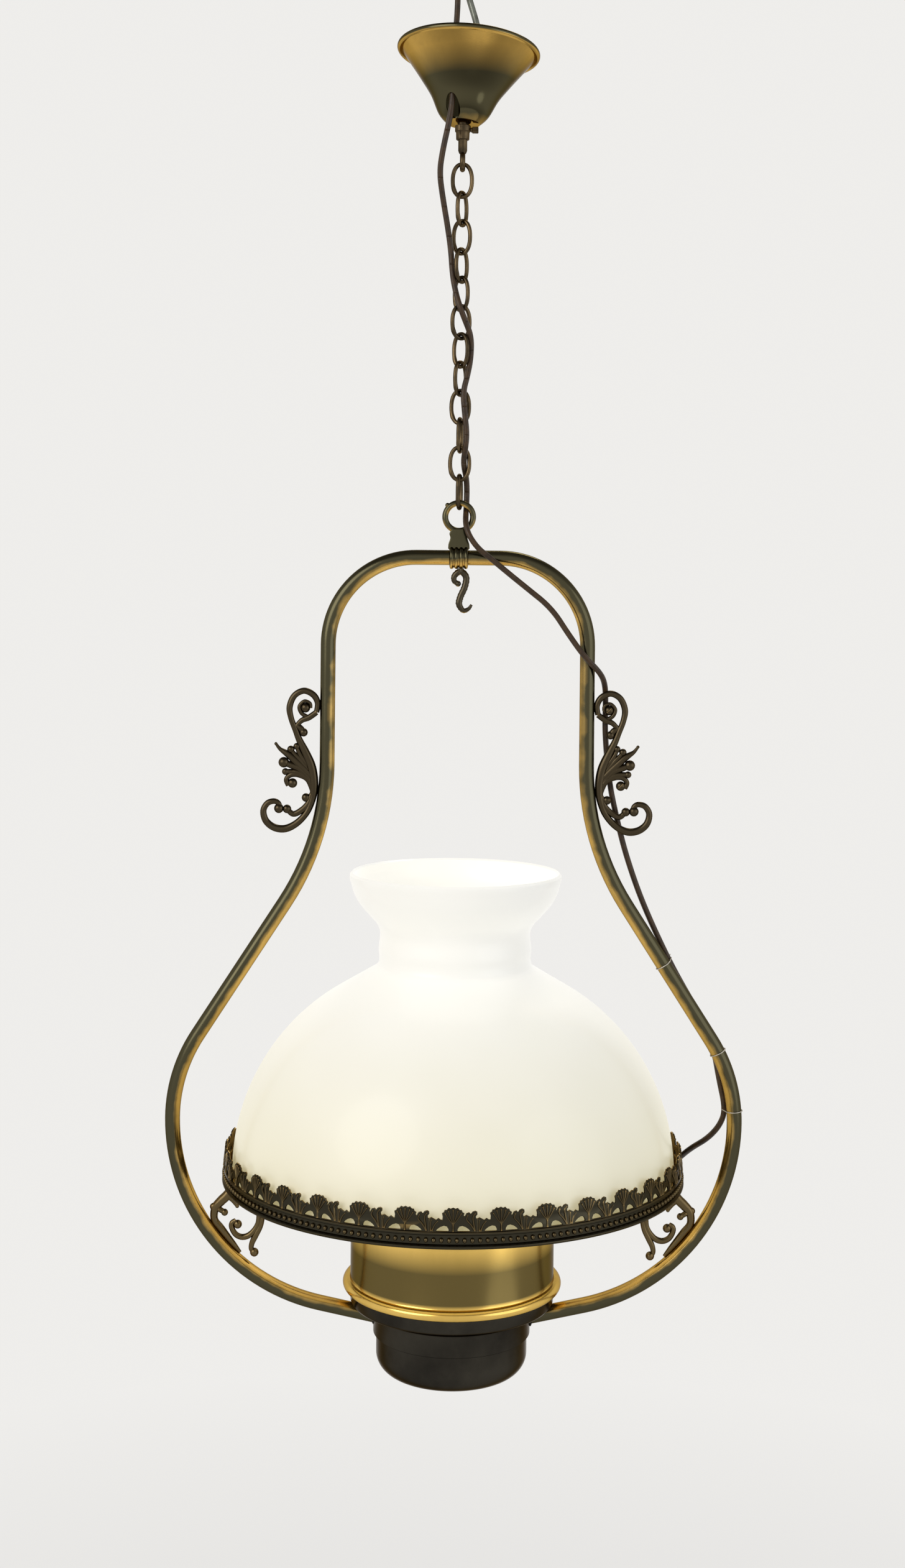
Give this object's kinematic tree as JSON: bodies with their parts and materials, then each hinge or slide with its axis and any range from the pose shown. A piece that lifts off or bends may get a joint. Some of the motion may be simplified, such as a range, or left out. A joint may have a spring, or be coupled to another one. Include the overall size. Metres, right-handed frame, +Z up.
{
  "type": "suspension lamp with opal shade",
  "caption": "Hanging lamp with a brass harp, an opal glass dome in a pierced gallery, a drum font and a chain from a ceiling hook",
  "frame": {"origin": "where the ceiling hook's screw enters the ceiling", "axes": "+Z up, +X to the right along the harp as pictured, +Y away from the viewer"},
  "size_m": [0.462, 0.366, 1.1368],
  "materials": {
    "old_brass": "aged, satin, darkened in the hollows",
    "dark_brass": "darkened to a bronze tone, satin",
    "dark_steel": "dulled zinc on steel wire",
    "opal_glass": "white opal, glossy",
    "frosted_glass": "white frosted",
    "cap_metal": "plain",
    "ivory_plastic": "old ivory",
    "cord_plastic": "dark brown flex sheath, slightly glossy",
    "tie_wire": "thin tinned wire"
  },
  "bodies": {
    "ceiling": {"ceiling_hook": "dark_steel", "terminal_block": "ivory_plastic", "cord_drop": "cord_plastic", "cord_chain": "cord_plastic"},
    "stem": {"eye_rod": "dark_brass"},
    "canopy": {"canopy": "old_brass", "canopy_collar": "dark_brass"},
    "thumb_screw": {"collar_thumb_screw": "dark_brass"},
    "chain_link_01": {"chain_link_01": "dark_brass"},
    "chain_link_02": {"chain_link_02": "dark_brass"},
    "chain_link_03": {"chain_link_03": "dark_brass"},
    "chain_link_04": {"chain_link_04": "dark_brass"},
    "chain_link_05": {"chain_link_05": "dark_brass"},
    "chain_link_06": {"chain_link_06": "dark_brass"},
    "chain_link_07": {"chain_link_07": "dark_brass"},
    "chain_link_08": {"chain_link_08": "dark_brass"},
    "chain_link_09": {"chain_link_09": "dark_brass"},
    "chain_link_10": {"chain_link_10": "dark_brass"},
    "chain_link_11": {"chain_link_11": "dark_brass"},
    "chain_link_12": {"chain_link_12": "dark_brass"},
    "frame": {"frame_hanger": "old_brass", "harp_tube_right": "old_brass", "harp_tube_left": "old_brass", "smoke_bell_hook": "old_brass", "scroll_ornament_right": "dark_brass", "scroll_ornament_left": "dark_brass", "bracket_right": "dark_brass", "bracket_left": "dark_brass", "gallery_band": "dark_brass", "gallery_crown": "dark_brass", "font_shell": "old_brass", "burner_collar": "old_brass", "lampholder": "ivory_plastic", "holder_ring": "dark_brass", "font_bowl": "dark_brass", "cord_frame": "cord_plastic", "cord_lead": "cord_plastic", "cord_tie_1": "tie_wire", "cord_tie_2": "tie_wire", "cord_tie_3": "tie_wire"},
    "shade": {"opal_shade": "opal_glass"},
    "bulb": {"bulb_cap": "cap_metal", "bulb_glass": "frosted_glass"}
  },
  "joints": [
    {"name": "stem_swing", "type": "hinge", "parent": "ceiling", "child": "stem", "pos_m": [0, 0, -0.061], "axis": [1, 0, 0], "range_deg": [-6, 6], "deforming": ["cord_chain", "cord_drop"]},
    {"name": "canopy_slide", "type": "slide", "parent": "stem", "child": "canopy", "axis": [0, 0, 1], "range_m": [0, 0.045], "deforming": ["cord_drop", "cord_chain"]},
    {"name": "thumb_screw_turn", "type": "hinge", "parent": "canopy", "child": "thumb_screw", "pos_m": [0.009, 0, -0.12395], "axis": [1, 0, 0], "range_deg": [0, 360]},
    {"name": "link_01_swing", "type": "hinge", "parent": "stem", "child": "chain_link_01", "pos_m": [0, 0, -0.1554], "axis": [0, 1, 0], "range_deg": [-6, 6], "deforming": ["cord_chain"]},
    {"name": "link_02_swing", "type": "hinge", "parent": "chain_link_01", "child": "chain_link_02", "pos_m": [0, 0, -0.17745], "axis": [1, 0, 0], "range_deg": [-6, 6], "deforming": ["cord_chain"]},
    {"name": "link_03_swing", "type": "hinge", "parent": "chain_link_02", "child": "chain_link_03", "pos_m": [0, 0, -0.20005], "axis": [0.4695, 0.8829, 0], "range_deg": [-6, 6], "deforming": ["cord_chain"]},
    {"name": "link_04_swing", "type": "hinge", "parent": "chain_link_03", "child": "chain_link_04", "pos_m": [0, 0, -0.22265], "axis": [0.8572, -0.515, 0], "range_deg": [-6, 6], "deforming": ["cord_chain"]},
    {"name": "link_05_swing", "type": "hinge", "parent": "chain_link_04", "child": "chain_link_05", "pos_m": [0, 0, -0.24525], "axis": [0.5592, 0.829, 0], "range_deg": [-6, 6], "deforming": ["cord_chain"]},
    {"name": "link_06_swing", "type": "hinge", "parent": "chain_link_05", "child": "chain_link_06", "pos_m": [0, 0, -0.26785], "axis": [0.682, -0.7314, 0], "range_deg": [-6, 6], "deforming": ["cord_chain"]},
    {"name": "link_07_swing", "type": "hinge", "parent": "chain_link_06", "child": "chain_link_07", "pos_m": [0, 0, -0.29045], "axis": [0.8988, 0.4384, 0], "range_deg": [-6, 6], "deforming": ["cord_chain"]},
    {"name": "link_08_swing", "type": "hinge", "parent": "chain_link_07", "child": "chain_link_08", "pos_m": [0, 0, -0.31305], "axis": [0.6947, -0.7193, 0], "range_deg": [-6, 6], "deforming": ["cord_chain"]},
    {"name": "link_09_swing", "type": "hinge", "parent": "chain_link_08", "child": "chain_link_09", "pos_m": [0, 0, -0.33565], "axis": [0.5592, 0.829, 0], "range_deg": [-6, 6], "deforming": ["cord_chain"]},
    {"name": "link_10_swing", "type": "hinge", "parent": "chain_link_09", "child": "chain_link_10", "pos_m": [0, 0, -0.35825], "axis": [0.9205, -0.3907, 0], "range_deg": [-6, 6], "deforming": ["cord_chain"]},
    {"name": "link_11_swing", "type": "hinge", "parent": "chain_link_10", "child": "chain_link_11", "pos_m": [0, 0, -0.38085], "axis": [0.1736, 0.9848, 0], "range_deg": [-6, 6], "deforming": ["cord_chain"]},
    {"name": "link_12_swing", "type": "hinge", "parent": "chain_link_11", "child": "chain_link_12", "pos_m": [0, 0, -0.40345], "axis": [1, 0, 0], "range_deg": [-6, 6], "deforming": ["cord_chain"]},
    {"name": "frame_swing", "type": "hinge", "parent": "chain_link_12", "child": "frame", "pos_m": [0, 0, -0.42605], "axis": [0.1736, 0.9848, 0], "range_deg": [-6, 6], "deforming": ["cord_chain"]},
    {"name": "shade_lift", "type": "slide", "parent": "frame", "child": "shade", "axis": [0, 0, 1], "range_m": [0, 0.08]},
    {"name": "bulb_unscrew", "type": "hinge", "parent": "frame", "child": "bulb", "pos_m": [0, 0, -0.915], "axis": [0, 0, 1], "range_deg": [0, 720]}
  ]
}
